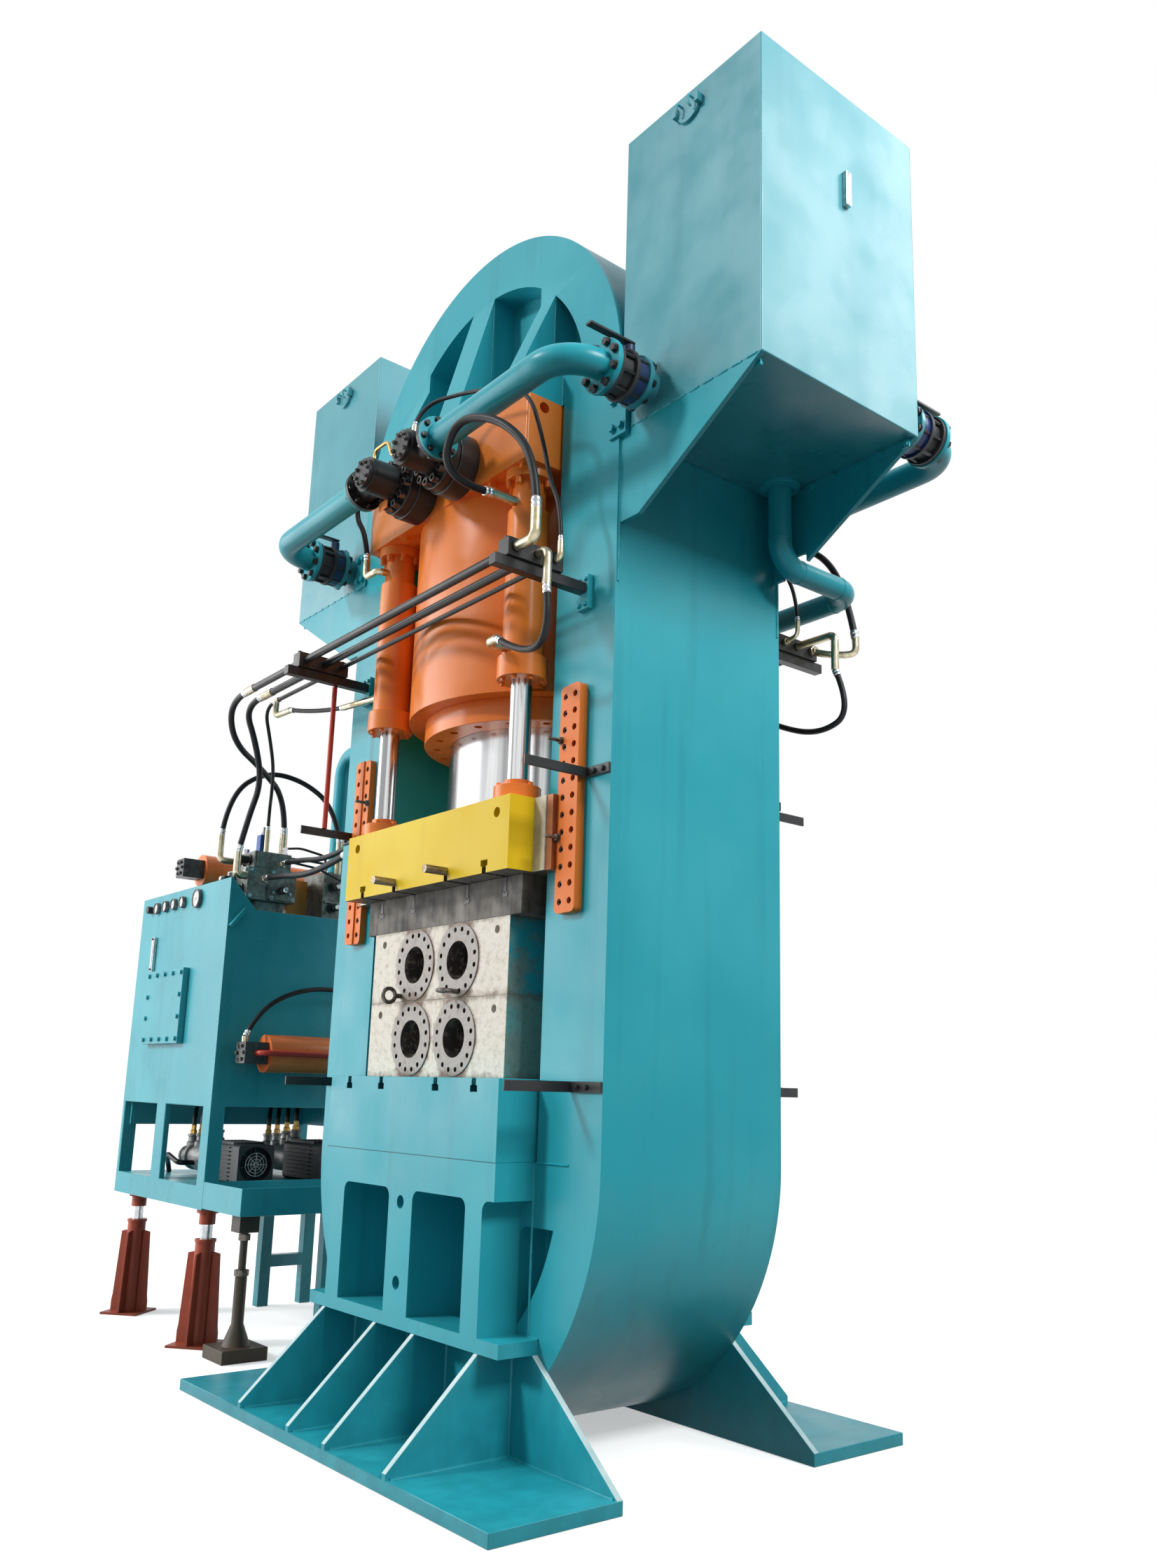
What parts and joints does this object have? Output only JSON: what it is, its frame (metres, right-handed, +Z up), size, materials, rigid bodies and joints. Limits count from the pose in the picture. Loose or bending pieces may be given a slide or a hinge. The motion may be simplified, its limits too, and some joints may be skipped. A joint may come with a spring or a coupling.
{
  "type": "hydraulic forging press",
  "caption": "Ring-frame hydraulic press with a central ram, corner return cylinders, die set, overhead oil tanks, suction piping and a separate power unit on stands.",
  "frame": {"origin": "on the floor under the middle of the box round all pieces but the free hoses", "axes": "+X to the right along the press front, +Y from the front to the back, +Z up"},
  "size_m": [5.9642, 2.268, 6.011],
  "materials": {
    "teal_paint": "satin",
    "orange_paint": "satin",
    "yellow_paint": "satin",
    "chrome": "polished",
    "black_paint": "satin",
    "blue_paint": "satin",
    "red_paint": "satin",
    "bare_steel": "brushed",
    "die_iron": "rough",
    "bronze": "satin",
    "black_plastic": "matte",
    "gauge_face": "gloss",
    "hose_rubber": "matte"
  },
  "bodies": {
    "base": {"access_cover": "teal_paint", "accumulator_hose": "hose_rubber", "accumulators": "orange_paint", "balance_pipe": "teal_paint", "base_feet": "teal_paint", "bolster_table": "teal_paint", "butterfly_valves": "blue_paint", "column_brackets": "black_paint", "drip_tray": "teal_paint", "feed_pipe": "teal_paint", "flange_bolts": "black_paint", "guide_plates": "orange_paint", "hose_fittings": "bronze", "hose_left_lower": "hose_rubber", "hose_left_upper": "hose_rubber", "hose_right_lower": "hose_rubber", "hose_right_upper": "hose_rubber", "jack_stands": "red_paint", "lower_die": "die_iron", "main_cylinder": "orange_paint", "manifold_hose": "hose_rubber", "oil_tanks": "teal_paint", "panel_gauges": "gauge_face", "pilot_hose": "hose_rubber", "prefill_valves": "black_paint", "press_frame": "teal_paint", "pressure_pipes": "black_paint", "pump_motors": "black_paint", "pumps": "black_paint", "ram_bush": "bronze", "ram_gland": "orange_paint", "rear_hose": "hose_rubber", "return_cylinders": "orange_paint", "return_glands": "orange_paint", "screw_jack": "black_paint", "suction_pipes": "teal_paint", "supply_hose_a": "hose_rubber", "supply_hose_b": "hose_rubber", "supply_hose_thin": "hose_rubber", "tank_brackets": "teal_paint", "tank_fittings": "bare_steel", "trestle": "teal_paint", "unit_cabinet": "teal_paint", "valve_manifold": "black_paint"},
    "slide": {"main_ram": "chrome", "slide": "yellow_paint", "return_rods": "chrome", "rod_flanges": "orange_paint", "guide_liners": "bronze", "spacer_plate": "bare_steel", "upper_die": "die_iron", "eye_bolts": "bare_steel", "slide_bars": "black_paint"},
    "lever_right_front": {"valve_lever_right_front": "black_paint"},
    "lever_left_front": {"valve_lever_left_front": "black_paint"},
    "lever_right_rear": {"valve_lever_right_rear": "black_paint"},
    "lever_left_rear": {"valve_lever_left_rear": "black_paint"},
    "fan_front": {"motor_fan_front": "black_paint"},
    "fan_rear": {"motor_fan_rear": "black_paint"},
    "knob": {"console_knob": "black_plastic"}
  },
  "joints": [
    {"name": "slide_stroke", "type": "slide", "parent": "base", "child": "slide", "axis": [0, 0, 1], "range_m": [0, 0.44]},
    {"name": "lever_right_front_turn", "type": "hinge", "parent": "base", "child": "lever_right_front", "pos_m": [2.26607, -0.636, 4.79], "axis": [0, 0, 1], "range_deg": [0, 90]},
    {"name": "lever_left_front_turn", "type": "hinge", "parent": "base", "child": "lever_left_front", "pos_m": [-0.50393, -0.636, 4.79], "axis": [0, 0, -1], "range_deg": [0, 90]},
    {"name": "lever_right_rear_turn", "type": "hinge", "parent": "base", "child": "lever_right_rear", "pos_m": [2.81607, 0.636, 4.79], "axis": [0, 0, -1], "range_deg": [0, 90]},
    {"name": "lever_left_rear_turn", "type": "hinge", "parent": "base", "child": "lever_left_rear", "pos_m": [-1.05393, 0.636, 4.79], "axis": [0, 0, 1], "range_deg": [0, 90]},
    {"name": "fan_front_spin", "type": "hinge", "parent": "base", "child": "fan_front", "pos_m": [-1.56893, -0.359, 1.027], "axis": [1, 0, 0], "continuous": true},
    {"name": "fan_rear_spin", "type": "hinge", "parent": "base", "child": "fan_rear", "pos_m": [-1.56893, 0.19, 1.027], "axis": [1, 0, 0], "continuous": true},
    {"name": "knob_turn", "type": "hinge", "parent": "base", "child": "knob", "pos_m": [-2.78293, -0.739, 2.705], "axis": [0, 1, 0], "range_deg": [-135, 135]}
  ]
}
